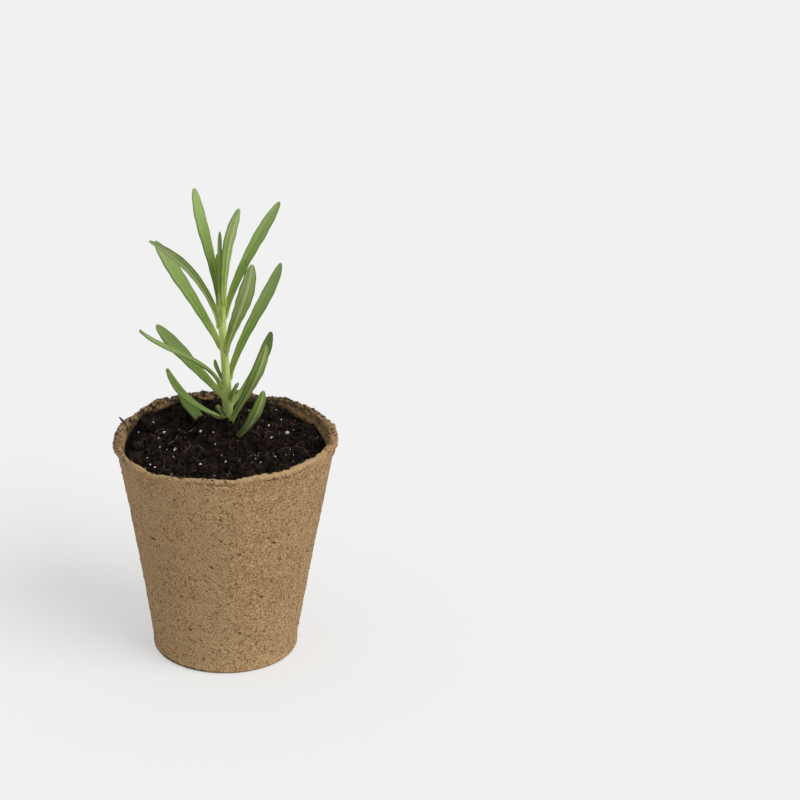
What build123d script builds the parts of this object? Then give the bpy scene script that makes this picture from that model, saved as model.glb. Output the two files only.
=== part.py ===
from build123d import *

import math
import os
from typing import NamedTuple

# A peat pot filled with compost and planted with a young lavender. All sizes are in millimetres.
# The origin is the centre of the foot, on the surface that the pot stands on. +Z is up, and -Y is the front.

# Pot: one moulded piece of peat and wood fibre
POT_HEIGHT = 82.0  # foot to the mean height of the torn rim
LIP_DIAMETER = 80.0
LIP_OVERHANG = 2.0  # how far the out-turned lip stands proud of the wall
LIP_DEPTH = 5.5  # rim to the neck under the lip
LIP_THICKNESS = 3.2
WALL_THICKNESS = 2.2
BASE_DIAMETER = 52.5
FOOT_BAND_HEIGHT = 5.0  # straight band round the foot, below the taper
FOOT_LAND_WIDTH = 4.0  # flat ring that the pot stands on
FOOT_BEVEL = 1.2  # the moulding has no sharp corner at its foot
FOOT_HOLLOW_DEPTH = 0.8  # the middle of the underside is raised
FLOOR_THICKNESS = 2.2
FLOOR_BEVEL = 2.5  # inside, where the wall meets the floor
DRAIN_HOLE_DIAMETER = 8.0
RIM_TILT = 1.0  # the rim is torn, not trimmed: it tilts and it waves like a saddle
RIM_TILT_AZIMUTH = 20.0
RIM_SADDLE = 0.7
RIM_SADDLE_AZIMUTH = 122.0

# Compost plug, with its mound round the stem, the hollow beside it, its bank and the clods of its surface
PLUG_CLEARANCE = 0.25  # all round, so that the plug draws out of the taper
SOIL_BELOW_RIM = 4.0
MOUND_HEIGHT = 7.05
MOUND_RADIUS = 11.0
HOLLOW_DEPTH = 3.5
HOLLOW_RADIUS = 6.0
HOLLOW_CENTRE = (8.0, -2.0)
BANK_RISE = 0.13  # behind the stem the compost slopes up to the wall, by this much per millimetre
BANK_AZIMUTH = 105.0
CLOD_COUNT = 30  # round heaps about 12 mm apart
CLOD_FIELD_RADIUS = 36.0
CLOD_HEIGHT = 2.4
CLOD_SINK = 1.4  # the gaps between the clods lie this far below the mean level
CLOD_MIN_RADIUS = 6.0
CLOD_MAX_RADIUS = 8.0
CLOD_STEM_MARGIN = 6.0  # they die away towards the stem
FACET_STEP = 4.4  # spacing of the corners of the compost's surface
SURFACE_STEP = 4.0  # spacing of the points that the rim's surface passes through

# Seedling: stem, roots and leaves
STEM_BASE = (0.8, 8.0)  # where the stem leaves the compost
STEM_BASE_DIAMETER = 3.0
STEM_TIP_DIAMETER = 2.2
STEM_BURIED = 12.0
STEM_SWAY = 2.1  # how far the stem drifts to the left as it rises
STEM_SIDES = 8  # a square stem with broad flats on its corners
STEM_STATIONS = 9
ROOT_LENGTH = 46.0
ROOT_TIP_DIAMETER = 1.0
ROOT_SIDES = 6
SIDE_ROOT_COUNT = 7
SIDE_ROOT_DIAMETER = 1.2
SIDE_ROOT_TIP_DIAMETER = 0.5
SIDE_ROOT_REACH = 13.0
SIDE_ROOT_DROP = 9.0
SIDE_ROOT_FIRST_DEPTH = 4.0
SIDE_ROOT_PITCH = 4.5
SIDE_ROOT_STATIONS = 5
LEAF_SEAT = 0.6  # depth to which a leaf base sits in the stem
LEAF_THICKNESS = 0.75
LEAF_CHANNEL = 0.22  # depth of the groove along the midrib, as a share of the half width
LEAF_BASE_SHARE = 0.38  # width at the base as a share of the full width
LEAF_TIP_SHARE = 0.2
LEAF_WIDEST = 0.66  # share of the length where the blade is widest
LEAF_STATIONS = (0.0, 0.14, 0.3, 0.46, 0.62, 0.76, 0.87, 0.95, 1.0)
SPINE_STEPS = 60

# Perlite grains bedded in the compost surface
GRAIN_COUNT = 16
GRAIN_MIN_DIAMETER = 0.8
GRAIN_MAX_DIAMETER = 1.9
GRAIN_SIDES = 5
GRAIN_TAPER = 32.0
GRAIN_FIELD_MARGIN = 4.0  # clear of the pot wall
GRAIN_STEM_MARGIN = 6.5  # clear of the stem
GOLDEN_ANGLE = 137.508
GOLDEN_SHARE = 0.618034

UP = (0, 0, 1)


class Leaf(NamedTuple):
    """One leaf: where it grows, how large it is, and how its midrib leans from the vertical."""

    name: str
    height: float  # on the stem, above the compost
    azimuth: float  # degrees from +X towards +Y
    length: float
    width: float
    base_lean: float
    middle_lean: float
    tip_lean: float
    twist: float  # degrees that the blade has turned about its midrib by the tip


LEAVES = (
    Leaf("bud_leaf_front", 47.0, 222, 24.0, 2.4, 1, 0, 1, 0),
    Leaf("bud_leaf_back", 46.0, 130, 16.0, 2.0, 6, 7, 7, 0),
    Leaf("leaf_top_left", 42.5, 136, 43.0, 5.4, 9, 19, 17, 0),
    Leaf("leaf_top_middle", 43.5, 310, 39.5, 5.3, 0, 11, 30, 0),
    Leaf("leaf_upper_right", 38.5, 45, 46.5, 5.5, 20, 39, 48, 0),
    Leaf("leaf_upper_left", 36.0, 224, 53.0, 5.6, 19, 40, 60, 18),
    Leaf("leaf_middle_left", 27.0, 130, 48.0, 6.0, 47, 51, 54, 0),
    Leaf("leaf_middle_right", 26.0, 294, 47.0, 5.5, 24, 35, 14, -45),
    Leaf("leaf_lower_right", 15.0, 44, 46.0, 5.6, 18, 40, 31, 0),
    Leaf("leaf_lower_left_front", 12.0, 185, 38.5, 5.4, 20, 61, 46, 0),
    Leaf("leaf_lower_left_back", 8.0, 134, 40.0, 5.7, 65, 63, 64, -12),
    Leaf("leaf_low_right_back", 6.0, 32, 30.0, 5.3, 59, 35, 19, 10),
    Leaf("leaf_low_right_front", -1.0, 303, 44.0, 5.4, 34, 34, 19, -8),
    Leaf("leaf_low_left_front", 0.8, 195, 30.5, 4.8, 66, 46, 21, -35),
    Leaf("leaf_ground_left", -9.5, 140, 27.0, 5.4, 62, 58, 38, 0),
    Leaf("leaf_ground_right", -8.5, 298, 39.0, 4.5, 55, 42, 22, -13),
    Leaf("side_shoot_left", 15.0, 150, 8.0, 2.5, 39, 31, 10, 0),
    Leaf("side_shoot_right", 7.5, 316, 9.0, 2.9, 28, 25, 35, 0),
    Leaf("side_shoot_base", 2.0, 242, 9.0, 3.0, 55, 48, 24, 0),
)

# Radii and heights that follow from the sizes above
base_radius = BASE_DIAMETER / 2
lip_radius = LIP_DIAMETER / 2
neck_radius = lip_radius - LIP_OVERHANG
neck_height = POT_HEIGHT - LIP_DEPTH
mouth_radius = lip_radius - LIP_THICKNESS
inner_neck_radius = neck_radius - WALL_THICKNESS
inner_floor_radius = base_radius - WALL_THICKNESS
floor_top = FOOT_HOLLOW_DEPTH + FLOOR_THICKNESS
hollow_radius = base_radius - FOOT_LAND_WIDTH
rim_blank = POT_HEIGHT + LIP_DEPTH  # the wall is drawn this high and then torn off
soil_level = POT_HEIGHT - SOIL_BELOW_RIM
stem_top = max(leaf.height for leaf in LEAVES)


def rim_height(x, y):
    """Height of the torn rim: the mean height, a tilt across the pot and a two-sided saddle."""
    share = math.hypot(x, y) / lip_radius
    angle = math.atan2(y, x)
    tilt = RIM_TILT * share * math.cos(angle - math.radians(RIM_TILT_AZIMUTH))
    saddle = RIM_SADDLE * share**2 * math.cos(2 * (angle - math.radians(RIM_SADDLE_AZIMUTH)))
    return POT_HEIGHT + tilt + saddle


def clod_height(x, y):
    """Height of the clods: round heaps spread by the golden angle, with gaps between them."""
    highest = 0
    for i in range(CLOD_COUNT):
        reach = CLOD_FIELD_RADIUS * math.sqrt((i + 0.5) / CLOD_COUNT)
        angle = math.radians(GOLDEN_ANGLE * i)
        radius = CLOD_MIN_RADIUS + (CLOD_MAX_RADIUS - CLOD_MIN_RADIUS) * (GOLDEN_SHARE * i % 1)
        away = math.hypot(x - reach * math.cos(angle), y - reach * math.sin(angle))
        highest = max(highest, 1 - (away / radius) ** 2)
    return CLOD_HEIGHT * highest - CLOD_SINK


def soil_height(x, y):
    """Height of the compost: a level, a round mound at the stem, a hollow, a bank up to the back wall, and clods
    away from the stem."""
    from_stem = math.hypot(x - STEM_BASE[0], y - STEM_BASE[1])
    bank_angle = math.radians(BANK_AZIMUTH)
    behind_stem = (x - STEM_BASE[0]) * math.cos(bank_angle) + (y - STEM_BASE[1]) * math.sin(bank_angle)
    from_hollow = math.hypot(x - HOLLOW_CENTRE[0], y - HOLLOW_CENTRE[1])
    mound = MOUND_HEIGHT * math.exp(-((from_stem / MOUND_RADIUS) ** 2))
    hollow = HOLLOW_DEPTH * math.exp(-((from_hollow / HOLLOW_RADIUS) ** 2))
    fade = 1 - math.exp(-((from_stem / CLOD_STEM_MARGIN) ** 2))
    bank = BANK_RISE * max(0, behind_stem)
    return soil_level + mound + bank - hollow + fade * clod_height(x, y)


def square_grid(height_at, step):
    """Points over the whole pot, row by row, whose height is worked out one by one."""
    count = math.ceil(LIP_DIAMETER * 0.55 / step)
    steps = [step * i for i in range(-count, count + 1)]
    return [[(x, y, height_at(x, y)) for y in steps] for x in steps]


def space_above(grid):
    """Closed block over a faceted ground: two triangles to each square, upright sides and a flat lid."""
    last = len(grid) - 1
    corners = [grid[0][0], grid[last][0], grid[last][last], grid[0][last]]
    lid = [(x, y, rim_blank) for x, y, z in corners]
    outlines = [lid]
    for i in range(last):
        for j in range(last):
            here, right, across, ahead = grid[i][j], grid[i + 1][j], grid[i + 1][j + 1], grid[i][j + 1]
            outlines += [(here, right, across), (here, across, ahead)]
    outlines.append([row[0] for row in grid] + [lid[1], lid[0]])
    outlines.append(grid[last] + [lid[2], lid[1]])
    outlines.append([row[last] for row in reversed(grid)] + [lid[3], lid[2]])
    outlines.append(grid[0][::-1] + [lid[0], lid[3]])
    return Solid(Shell([Face(Wire.make_polygon(outline)) for outline in outlines]))


crown_height = soil_height(*STEM_BASE)  # where the stem leaves the compost


def stem_centre(height):
    """Centre of the stem at a height above the compost: it drifts sideways on half a cosine wave."""
    share = min(max(height / stem_top, 0), 1)
    drift = STEM_SWAY * (1 - math.cos(math.pi * share)) / 2
    return Vector(STEM_BASE[0] - drift, STEM_BASE[1], crown_height + height)


def stem_radius(height):
    """Radius of the stem at a height above the compost: a straight taper from its base to its tip."""
    share = min(max(height / stem_top, 0), 1)
    return (STEM_BASE_DIAMETER + (STEM_TIP_DIAMETER - STEM_BASE_DIAMETER) * share) / 2


def leaf_lean(leaf, share):
    """Lean of the midrib from the vertical, in radians: a parabola through base, middle and tip."""
    base = leaf.base_lean * (1 - share) * (1 - 2 * share)
    middle = leaf.middle_lean * 4 * share * (1 - share)
    tip = leaf.tip_lean * share * (2 * share - 1)
    return math.radians(base + middle + tip)


def leaf_point(leaf, share):
    """Point of the midrib at a share of its length, adding up short steps along its lean."""
    outward = Vector(1, 0, 0).rotate(Axis.Z, leaf.azimuth)
    point = stem_centre(leaf.height) + outward * (stem_radius(leaf.height) - LEAF_SEAT)
    step = leaf.length * share / SPINE_STEPS
    for i in range(SPINE_STEPS):
        lean = leaf_lean(leaf, share * (i + 0.5) / SPINE_STEPS)
        point += (outward * math.sin(lean) + Vector(UP) * math.cos(lean)) * step
    return point


def leaf_plane(leaf, share):
    """Plane square to the midrib: its x axis lies across the blade, and its y axis points to the upper side."""
    outward = Vector(1, 0, 0).rotate(Axis.Z, leaf.azimuth)
    lean = leaf_lean(leaf, share)
    along = outward * math.sin(lean) + Vector(UP) * math.cos(lean)
    upper_side = Vector(UP) * math.sin(lean) - outward * math.cos(lean)
    across = upper_side.cross(along)
    flat = Plane(leaf_point(leaf, share), x_dir=across, z_dir=along)
    return flat.rotated((0, 0, leaf.twist * math.sin(math.pi / 2 * share)))


def leaf_half_width(leaf, share):
    """Half width of the blade: it widens evenly to its widest point, and closes on an ellipse."""
    if share < LEAF_WIDEST:
        return leaf.width / 2 * (LEAF_BASE_SHARE + (1 - LEAF_BASE_SHARE) * share / LEAF_WIDEST)
    close = math.sqrt(1 - ((share - LEAF_WIDEST) / (1 - LEAF_WIDEST)) ** 2)
    return leaf.width / 2 * (LEAF_TIP_SHARE + (1 - LEAF_TIP_SHARE) * close)


# Pot shell: a turned section of even wall, with its lip, foot band and raised underside, torn at the rim
with BuildPart() as pot_shell:
    with BuildSketch(Plane.XZ):
        with BuildLine():
            Polyline(
                (0, FOOT_HOLLOW_DEPTH),
                (hollow_radius - FOOT_HOLLOW_DEPTH, FOOT_HOLLOW_DEPTH),
                (hollow_radius, 0),
                (base_radius - FOOT_BEVEL, 0),
                (base_radius, FOOT_BEVEL),
                (base_radius, FOOT_BAND_HEIGHT),
                (neck_radius, neck_height),
                (lip_radius, neck_height + LIP_OVERHANG),
                (lip_radius, rim_blank),
                (mouth_radius, rim_blank),
                (inner_neck_radius, neck_height),
                (inner_floor_radius, floor_top + FLOOR_BEVEL),
                (inner_floor_radius - FLOOR_BEVEL, floor_top),
                (0, floor_top),
                close=True,
            )
        make_face()
    revolve(axis=Axis.Z)
    with Locations((0, 0, floor_top)):
        Hole(DRAIN_HOLE_DIAMETER / 2)
    torn_face = Face.make_surface_from_array_of_points(square_grid(rim_height, SURFACE_STEP))
    extrude(torn_face, amount=rim_blank, dir=UP, mode=Mode.SUBTRACT)
pot_shell.part.label = "pot_shell"

# Stem: a flat-sided taper through level sections, from below the compost to the bud
with BuildPart() as stem:
    for i in range(STEM_STATIONS):
        height = -STEM_BURIED + (stem_top + STEM_BURIED) * i / (STEM_STATIONS - 1)
        with BuildSketch(Plane(stem_centre(height))):
            RegularPolygon(stem_radius(height), STEM_SIDES)
    loft(ruled=True)
stem.part.label = "stem"

# Main root: it carries the stem on below the compost
root_top = stem_centre(-STEM_BURIED)
with BuildPart() as main_root:
    with BuildSketch(Plane(root_top)):
        RegularPolygon(STEM_BASE_DIAMETER / 2, STEM_SIDES)
    with BuildSketch(Plane(root_top - Vector(UP) * ROOT_LENGTH)):
        RegularPolygon(ROOT_TIP_DIAMETER / 2, STEM_SIDES)
    loft(ruled=True)
main_root.part.label = "main_root"

# Side roots: each leaves the main root square to it and bends down on a quarter ellipse, to a thin tip
with BuildPart() as side_roots:
    for i in range(SIDE_ROOT_COUNT):
        start = root_top - Vector(UP) * (SIDE_ROOT_FIRST_DEPTH + SIDE_ROOT_PITCH * i)
        outward = Vector(1, 0, 0).rotate(Axis.Z, GOLDEN_ANGLE * i)
        for station in range(SIDE_ROOT_STATIONS):
            share = station / (SIDE_ROOT_STATIONS - 1)
            turn = math.pi / 2 * share
            spot = outward * SIDE_ROOT_REACH * math.sin(turn) - Vector(UP) * SIDE_ROOT_DROP * (1 - math.cos(turn))
            along = outward * SIDE_ROOT_REACH * math.cos(turn) - Vector(UP) * SIDE_ROOT_DROP * math.sin(turn)
            diameter = SIDE_ROOT_DIAMETER + (SIDE_ROOT_TIP_DIAMETER - SIDE_ROOT_DIAMETER) * share
            with BuildSketch(Plane(start + spot, x_dir=outward.cross(Vector(UP)), z_dir=along)):
                RegularPolygon(diameter / 2, ROOT_SIDES)
        loft(ruled=True)
    add(main_root.part, mode=Mode.SUBTRACT)
side_roots.part.label = "side_roots"


def leaf_blade(leaf):
    """A blade channelled along its midrib, lofted through its stations and seated on the stem."""
    with BuildPart() as blade:
        for share in LEAF_STATIONS:
            half = leaf_half_width(leaf, share)
            groove = LEAF_CHANNEL * half
            edge = LEAF_THICKNESS / 2
            with BuildSketch(leaf_plane(leaf, share)):
                with BuildLine():
                    Polyline(
                        (-half, 0),
                        (-half, -edge),
                        (0, -groove - LEAF_THICKNESS),
                        (half, -edge),
                        (half, 0),
                        (0, -groove),
                        close=True,
                    )
                make_face()
        loft(ruled=True)
        add(stem.part, mode=Mode.SUBTRACT)
    blade.part.label = leaf.name
    return blade


leaves = [leaf_blade(leaf) for leaf in LEAVES]

# Perlite grains: blunt five-sided crystals, spread by the golden angle over the corners of the compost's surface
grain_field = inner_neck_radius - GRAIN_FIELD_MARGIN
with BuildPart() as perlite_grains:
    for i in range(GRAIN_COUNT):
        reach = grain_field * math.sqrt((i + 0.5) / GRAIN_COUNT)
        loose = Vector(reach, 0, 0).rotate(Axis.Z, GOLDEN_ANGLE * i)
        spot = Vector(FACET_STEP * round(loose.X / FACET_STEP), FACET_STEP * round(loose.Y / FACET_STEP))
        if math.hypot(spot.X - STEM_BASE[0], spot.Y - STEM_BASE[1]) < GRAIN_STEM_MARGIN:
            continue
        size_share = GOLDEN_SHARE * i % 1
        radius = (GRAIN_MIN_DIAMETER + (GRAIN_MAX_DIAMETER - GRAIN_MIN_DIAMETER) * size_share) / 2
        centre = Vector(spot.X, spot.Y, soil_height(spot.X, spot.Y))
        with BuildSketch(Plane(centre).rotated((0, 0, GOLDEN_ANGLE * i))):
            RegularPolygon(radius, GRAIN_SIDES)
        extrude(amount=radius / 2, both=True, taper=GRAIN_TAPER)
perlite_grains.part.label = "perlite_grains"

# Compost: a plug with the taper of the pot, its clods on top, and room for all that is bedded in it
with BuildPart() as compost:
    with BuildSketch(Plane.XZ):
        with BuildLine():
            Polyline(
                (0, floor_top),
                (inner_floor_radius - FLOOR_BEVEL - PLUG_CLEARANCE, floor_top),
                (inner_floor_radius - PLUG_CLEARANCE, floor_top + FLOOR_BEVEL),
                (inner_neck_radius - PLUG_CLEARANCE, neck_height),
                (mouth_radius - PLUG_CLEARANCE, rim_blank),
                (0, rim_blank),
                close=True,
            )
        make_face()
    revolve(axis=Axis.Z)
    add(space_above(square_grid(soil_height, FACET_STEP)), mode=Mode.SUBTRACT)
    for bedded in (stem, main_root, side_roots, perlite_grains, *leaves):
        add(bedded.part, mode=Mode.SUBTRACT)
compost.part.label = "compost"

os.makedirs("parts", exist_ok=True)
for piece in (pot_shell, compost, main_root, side_roots, stem, perlite_grains, *leaves):
    export_step(piece.part, f"parts/{piece.part.label}.step")
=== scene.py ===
import itertools
from collections import namedtuple

import bpy
import numpy as np
from mathutils import Matrix, Vector


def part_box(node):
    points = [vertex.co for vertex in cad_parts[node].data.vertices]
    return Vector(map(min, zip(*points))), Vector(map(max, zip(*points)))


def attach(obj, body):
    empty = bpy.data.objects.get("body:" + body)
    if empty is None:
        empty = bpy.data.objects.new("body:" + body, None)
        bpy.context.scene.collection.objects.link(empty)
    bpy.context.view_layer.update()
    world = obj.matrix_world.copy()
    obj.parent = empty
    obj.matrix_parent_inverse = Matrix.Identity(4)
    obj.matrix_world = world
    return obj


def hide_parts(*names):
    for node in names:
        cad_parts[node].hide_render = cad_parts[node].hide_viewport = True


# A round peat pot, filled with compost and planted with a young lavender, dressed over its CAD frame.
# Sizes are in millimetres and turn to metres where a mesh is made. Angles are in degrees from +X towards +Y.
# A layer of roughness is given by its height, the size of its features, its seed and its octaves.

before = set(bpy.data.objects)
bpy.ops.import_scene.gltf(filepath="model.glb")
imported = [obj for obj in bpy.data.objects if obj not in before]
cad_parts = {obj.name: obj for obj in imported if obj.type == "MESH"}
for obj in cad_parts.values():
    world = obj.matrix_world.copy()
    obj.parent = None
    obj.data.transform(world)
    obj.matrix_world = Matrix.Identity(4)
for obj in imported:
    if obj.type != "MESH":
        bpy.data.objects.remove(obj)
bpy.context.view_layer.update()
scene = bpy.context.scene

MM = 0.001
UNIT = 1 / MM  # texture size that leaves a place as it is
TURN = 2 * np.pi
HASH_AXES = (2376512323, 3625334849, 3407524639)  # odd factors that mix lattice places into random values
HASH_STEPS = ((15, 739982445), (12, 695872825), (15, 1))
SLANT_AXIS = (0.31, 0.17, 0.94)  # no fibre lies along it
rng = np.random.default_rng(20)

# Pot, as in the CAD model
LIP_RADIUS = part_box("pot_shell")[1][0] / MM
POT_HEIGHT = 82.0
RIM_LIFT = 0.4  # the torn fibres stand a little above the mean rim
LIP_OVERHANG = 2.0
LIP_DEPTH = 5.5
NECK_HEIGHT = POT_HEIGHT - LIP_DEPTH
LIP_INSET = 0.35  # leaves room for roughness inside the CAD outline
FRONT_LIP_LOSS = 0.5  # the lip is pressed back at the front
LIP_THICKNESS = 3.0
WALL_THICKNESS = 2.2
BASE_RADIUS = 26.25
FOOT_BAND_HEIGHT = 5.0
FOOT_CORNER = 1.3
FOOT_HOLLOW_RADIUS = 22.25
FOOT_RISE = 0.8
FLOOR_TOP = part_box("compost")[0][2] / MM
FLOOR_CORNER = 2.6  # height of the round corner between floor and inner wall
FLOOR_ROUNDING = 2.2  # how far the inner wall turns in there
HOLE_RADIUS = 4.0
HOLE_EDGE = 0.3
RIM_WAVES = (  # height, waves round the rim, and azimuth: a tilt, a saddle and shorter ripples
    (1.0, 1, 20.0), (0.7, 2, 122.0), (0.35, 5, 40.0), (0.25, 9, 10.0), (0.18, 14, 5.0),
)

# Looks of the pot
PULP_LAYERS = ((0.3, 19, 1, 1), (0.16, 6, 2, 2), (0.07, 1.6, 3, 2))
TORN_LAYERS = ((0.3, 3.2, 4, 2), (0.22, 1.2, 5, 2))
TORN_LOSS = 0.1  # the torn lip is a little thinner on the whole
PIT_DEPTH = 0.45  # and has pits
FRONT_CALM = 0.35  # share of that roughness which is pressed flat at the front
RAG_LAYER = (0.35, 1.0, 6, 2)
CREASE_DROP = 2.3  # a crease runs this far below the front edge
CREASE_WIDTH = 0.5
CREASE_DEPTH = 0.4
FOOT_STAIN_AZIMUTH = 226.0  # the foot has drawn up water here
WORN_AZIMUTH = 334.0  # the print of the mesh is worn here
PRINT_RADIUS = 32.0  # the wall is unrolled at this radius for the print
PRINT_PITCH = 0.74
WAVE_RATE = 20  # a wave texture of scale 1 runs through this many radians in each unit
PRINT_SETS = ((-52.0, 1.0), (42.0, 0.45))  # slant and strength of each set of printed ridges
FLECKS = (  # size, stretch and share of cells that stay plain
    (2.4, (0.8, 1, 1), 0.66),
    (1.2, (0.6, 0.6, 1), 0.5),
    (0.7, (1, 1, 0.5), 0.5),
)
FLECK_SWAY = 1.1  # how far they are bent out of round
WALL_REACH = 33.0  # radii that turn lengths on the wall and on the rim into angles
RIM_REACH = 40.0
POT_COLUMNS = 470
WALL_STRAWS = 40
WALL_BARK = 800
LIP_FUZZ = 420
RIM_CRUMBS = 2000
RIM_TWIG = ((-38.1, 14.5, 82.9), (-34.7, 10.4, 79.7))  # ends of a bit of bark on the left rim
TWIG_RADIUS = 0.5

# Compost
SOIL_LEVEL = 78.0
MOUND_HEIGHT = 7.05
MOUND_RADIUS = 11.0
HOLLOW_DEPTH = 3.5
HOLLOW_RADIUS = 6.0
HOLLOW_CENTRE = (8.0, -2.0)
BANK_RISE = 0.13  # behind the stem the compost slopes up to the wall, by this much per millimetre
BANK_AZIMUTH = 105.0
CLOD_COUNT = 30
CLOD_FIELD_RADIUS = 36.0
CLOD_HEIGHT = 2.4
CLOD_SINK = 1.4
CLOD_RADIUS = 6.0
CLOD_SPREAD = 2.0  # the largest clods have this much more radius
CLOD_STEM_MARGIN = 6.0
CLOD_WANDER = 1.3  # how far the clods' outlines stray from round
CRUMB_HEIGHT = 1.2
CRACK_DEPTH = 0.9
GRIT_LAYER = (0.32, 0.8, 13, 2)
FACET_STEP = 4.4  # the CAD model's grains sit on the corners of its compost surface
GOLDEN_ANGLE = 137.508
GOLDEN_SHARE = 0.618034
PLUG_CLEARANCE = 0.25
BRIM_DIP = 0.6  # the edge may sink this much further before it would meet the wall
SOIL_COLUMNS = 440
GRAIN_COUNT = 16
SPECK_COUNT = 190
LOOSE_CRUMBS = 2600
BEDDING_CRUMBS = 220  # lie where leaves come out of the compost
SOIL_STRAWS = 12
SOIL_BARK = 110
LONG_STRAW = ((-20.4, 2.1), (-7.0, 14.1))  # ends of the one long straw, left of the stem
LONG_STRAW_RADIUS = 0.14

# Seedling
STEM_BASE = (0.8, 8.0)
STEM_BASE_DIAMETER = 3.0
STEM_TIP_DIAMETER = 2.2
STEM_SWAY = 2.1
STEM_BURIED = 6.0
STEM_RING = 56
LEAF_SEAT = 0.6
LEAF_SHEATH = 2.5  # length of the base that goes on down, hidden in the stem
SHEATH_SINK = 1.3  # and how far it goes in there
RIDGE_RUN = 8.0  # below each leaf its base runs down the stem as a ridge
RIDGE_SHARE = 0.17  # height of that ridge as a share of the leaf's width
LEAF_THICKNESS = 0.8
LEAF_BASE_SHARE = 0.38  # width at the base, as a share of the most
LEAF_WIDEST = 0.66  # where the blade is widest, as a share of its length
LEAF_TIP_SHARE = 0.341  # length of the rounding at the tip
LEAF_ROWS = 120
LEAF_RING = 48
DOWNY_FLESH = {"Subsurface Weight": 0.15, "Subsurface Radius": (0.6, 1.0, 0.25), "Subsurface Scale": MM}

# A leaf has its CAD node, where it grows, its size, how its midrib leans from the vertical, and its twist
Leaf = namedtuple("Leaf", "node height azimuth length width base_lean middle_lean tip_lean twist")
LEAVES = (
    Leaf("bud_leaf_front", 47.0, 222, 24.0, 2.4, 1, 0, 1, 0),
    Leaf("bud_leaf_back", 46.0, 130, 16.0, 2.0, 6, 7, 7, 0),
    Leaf("leaf_top_left", 42.5, 136, 43.0, 5.4, 9, 19, 17, 0),
    Leaf("leaf_top_middle", 43.5, 310, 39.5, 5.3, 0, 11, 30, 0),
    Leaf("leaf_upper_right", 38.5, 45, 46.5, 5.5, 20, 39, 48, 0),
    Leaf("leaf_upper_left", 36.0, 224, 53.0, 5.6, 19, 40, 60, 18),
    Leaf("leaf_middle_left", 27.0, 130, 48.0, 6.0, 47, 51, 54, 0),
    Leaf("leaf_middle_right", 26.0, 294, 47.0, 5.5, 24, 35, 14, -45),
    Leaf("leaf_lower_right", 15.0, 44, 46.0, 5.6, 18, 40, 31, 0),
    Leaf("leaf_lower_left_front", 12.0, 185, 38.5, 5.4, 20, 61, 46, 0),
    Leaf("leaf_lower_left_back", 8.0, 134, 40.0, 5.7, 65, 63, 64, -12),
    Leaf("leaf_low_right_back", 6.0, 32, 30.0, 5.3, 59, 35, 19, 10),
    Leaf("leaf_low_right_front", -1.0, 303, 44.0, 5.4, 34, 34, 19, -8),
    Leaf("leaf_low_left_front", 0.8, 195, 30.5, 4.8, 66, 46, 21, -35),
    Leaf("leaf_ground_left", -9.5, 140, 27.0, 5.4, 62, 58, 38, 0),
    Leaf("leaf_ground_right", -8.5, 298, 39.0, 4.5, 55, 42, 22, -13),
    Leaf("side_shoot_left", 15.0, 150, 8.0, 2.5, 39, 31, 10, 0),
    Leaf("side_shoot_right", 7.5, 316, 9.0, 2.9, 28, 25, 35, 0),
    Leaf("side_shoot_base", 2.0, 242, 9.0, 3.0, 55, 48, 24, 0),
)
STEM_TOP = max(leaf.height for leaf in LEAVES)
CROWN_HEIGHT = 85.0

# Light, and the camera, which was worked out from the pot's own outline in the photograph
GROUND_REACH = 6000.0
SUN_ENERGY = 2.1
SUN_ANGLE = 48.0
SUN_HEADING = (-0.8, 0.6, -0.8)
ROOM_STRENGTH = 0.56
CAMERA_PLACE = (0.0, -847.3, 455.2)
CAMERA_PITCH = 22.94
CAMERA_YAW = 4.17
CAMERA_ROLL = 1.56
CAMERA_LENS = 117.0
SENSOR_WIDTH = 36.0


def noise(points, size, seed, octaves=1):
    """Smooth noise from about -1 to 1: random values on a lattice of that size in millimetres, eased between.
    Each further octave is half as large and half as strong."""
    total = 0.0
    for octave in range(octaves):
        spot = points / size * 2**octave + 31.7 * octave
        cell = np.floor(spot).astype(np.int64)
        part = spot - cell
        ease = part**3 * (10 - 15 * part + 6 * part**2)
        value = 0.0
        for corner in itertools.product((0, 1), repeat=3):
            key = (cell + corner).astype(np.uint32) * np.array(HASH_AXES, np.uint32)
            code = key[..., 0] ^ key[..., 1] ^ key[..., 2] ^ np.uint32(seed * 40503 + octave * 977)
            for shift, factor in HASH_STEPS:
                code = (code ^ code >> np.uint32(shift)) * np.uint32(factor)
            weight = np.prod(np.where(corner, ease, 1 - ease), axis=-1)
            value = value + weight * (code / 2**31 - 1)
        total = total + value / 2**octave
    return total


def rough(points, *layers):
    """Sum of layers of noise, each with its height, size, seed and octaves."""
    return sum(height * noise(points, *kind) for height, *kind in layers)


def smooth(value, low, high):
    """0 below low, 1 above high, and an S-curve between."""
    share = np.clip((value - low) / (high - low), 0, 1)
    return share * share * (3 - 2 * share)


def bell(value, width):
    """1 at 0, falling off to both sides in a bell curve of that width."""
    return np.exp(-((value / width) ** 2))


def turned(azimuth):
    """Unit vector in the ground plane at an azimuth in degrees."""
    return round_axis(1.0, np.radians(azimuth), 0.0)


def unit(vectors):
    """Vectors, each brought to a length of 1."""
    return vectors / np.linalg.norm(vectors, axis=-1, keepdims=True)


def round_axis(radius, angle, height):
    """Points at a radius from the axis, an angle round it and a height."""
    return np.stack([radius * np.cos(angle), radius * np.sin(angle), height], -1)


def rows_from(*columns):
    """Rows of values from columns of any shapes that fit."""
    return np.stack(np.broadcast_arrays(*columns), -1).reshape(-1, len(columns))


def from_stem(x, y):
    """Distance from the foot of the stem, in the ground plane."""
    return np.hypot(x - STEM_BASE[0], y - STEM_BASE[1])


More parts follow.
